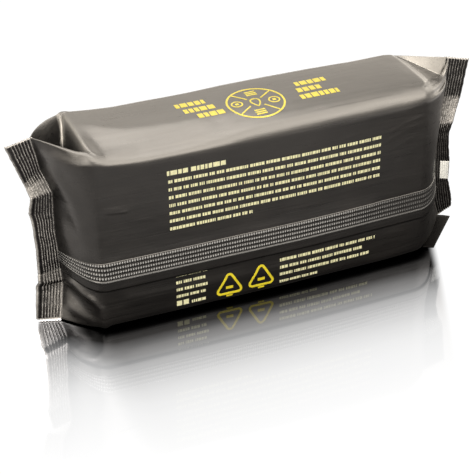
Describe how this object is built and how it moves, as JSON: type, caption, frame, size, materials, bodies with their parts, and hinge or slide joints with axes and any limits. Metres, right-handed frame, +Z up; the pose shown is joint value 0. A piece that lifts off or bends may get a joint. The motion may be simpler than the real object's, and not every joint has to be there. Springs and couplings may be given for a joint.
{
  "type": "wet wipes pack",
  "caption": "Sealed gusseted film pack of wet wipes standing on its long narrow side, with ribbed, creased end seals, a folded-down fin seal and a peel-back reseal label.",
  "frame": {"origin": "centre of the bounding box at its bottom, on the plane the pack stands on", "axes": "+X along the pack toward the end whose seal carries the off-white register mark, +Y out of the panel with the reseal label (the fin seal panel faces -Y), +Z up from the narrow side it stands on"},
  "size_m": [0.2328, 0.0512, 0.0948],
  "materials": {
    "film": "dark charcoal satin film, printed",
    "label_film": "dark satin-gloss film label"
  },
  "bodies": {
    "root": {"film_pack": "film", "reseal_label": "label_film"}
  },
  "joints": []
}
